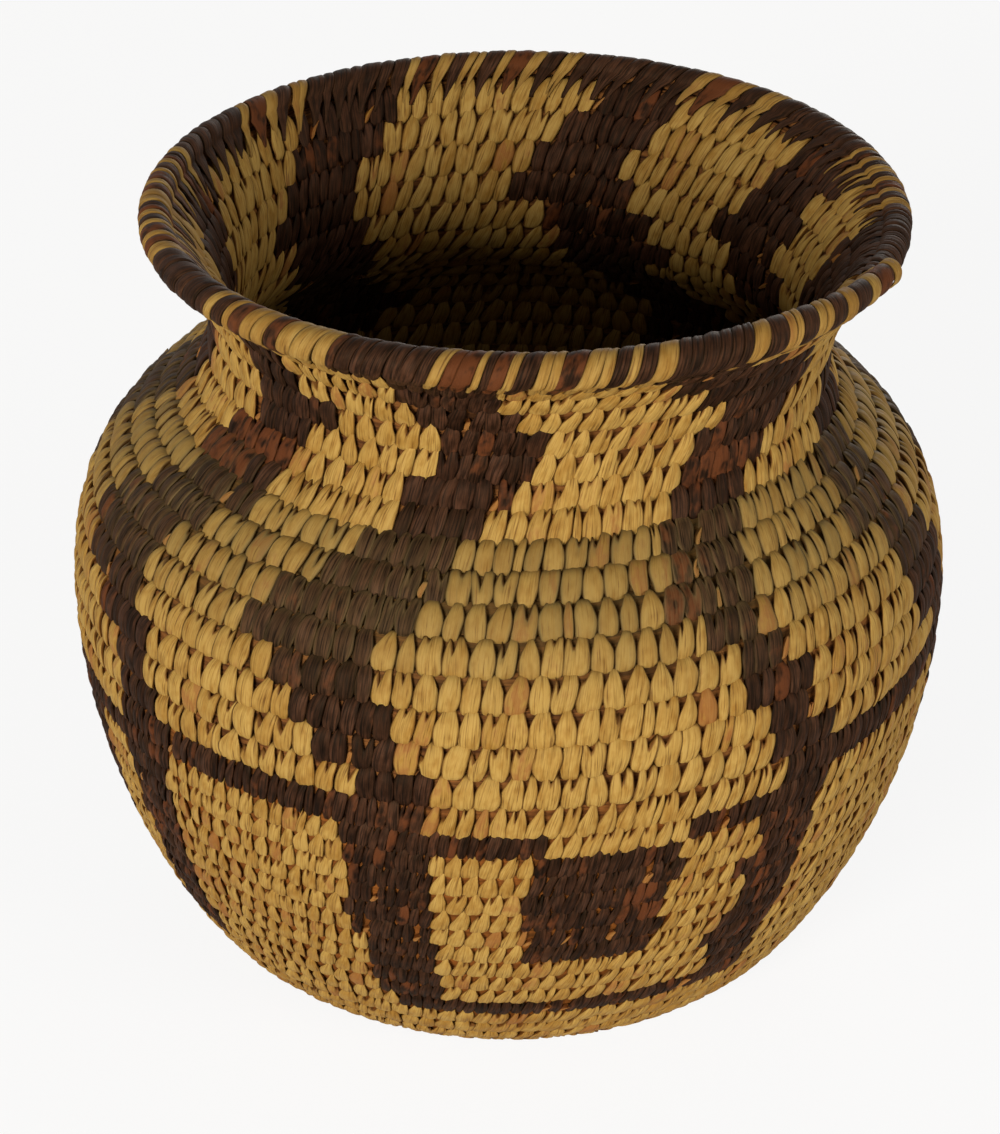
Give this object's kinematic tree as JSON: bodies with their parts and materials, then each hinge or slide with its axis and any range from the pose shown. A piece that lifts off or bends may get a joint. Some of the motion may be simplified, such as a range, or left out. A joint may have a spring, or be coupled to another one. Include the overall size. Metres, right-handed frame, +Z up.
{
  "type": "coiled basketry olla",
  "caption": "Round coiled basket jar with a wide belly, drawn-in neck and flared rim, sewn in pale and dark leaf strips over a grass bundle.",
  "frame": {"origin": "middle of the underside, where the coil starts, on the surface that the olla stands on", "axes": "+Z up through the mouth; -Y is the front, as the picture sees it, and +X is to its right"},
  "size_m": [0.197, 0.1969, 0.1817],
  "materials": {
    "yucca_stitching": "matte",
    "devils_claw_stitching": "satin",
    "grass_bundle": "matte"
  },
  "bodies": {
    "root": {"start_knot": "grass_bundle", "base_course_01": "yucca_stitching", "base_course_02": "yucca_stitching", "base_course_03": "yucca_stitching", "base_course_04": "yucca_stitching", "base_course_05": "yucca_stitching", "base_course_06": "yucca_stitching", "base_course_07": "yucca_stitching", "base_course_08": "yucca_stitching", "base_course_09": "yucca_stitching", "base_course_10": "yucca_stitching", "base_course_11": "yucca_stitching", "wall_course_01": "yucca_stitching", "wall_course_02": "yucca_stitching", "wall_course_03": "yucca_stitching", "wall_course_04": "yucca_stitching", "wall_course_05": "yucca_stitching", "wall_course_06": "yucca_stitching", "wall_course_07": "yucca_stitching", "wall_course_08": "yucca_stitching", "wall_course_09": "yucca_stitching", "wall_course_10": "yucca_stitching", "wall_course_11": "yucca_stitching", "wall_course_12": "yucca_stitching", "wall_course_13": "yucca_stitching", "wall_course_14": "yucca_stitching", "wall_course_15": "yucca_stitching", "wall_course_16": "yucca_stitching", "wall_course_17": "yucca_stitching", "wall_course_18": "yucca_stitching", "wall_course_19": "yucca_stitching", "wall_course_20": "yucca_stitching", "wall_course_21": "yucca_stitching", "wall_course_22": "yucca_stitching", "wall_course_23": "yucca_stitching", "wall_course_24": "yucca_stitching", "wall_course_25": "yucca_stitching", "wall_course_26": "yucca_stitching", "wall_course_27": "yucca_stitching", "wall_course_28": "yucca_stitching", "wall_course_29": "yucca_stitching", "wall_course_30": "yucca_stitching", "rim_coil": "devils_claw_stitching"}
  },
  "joints": []
}
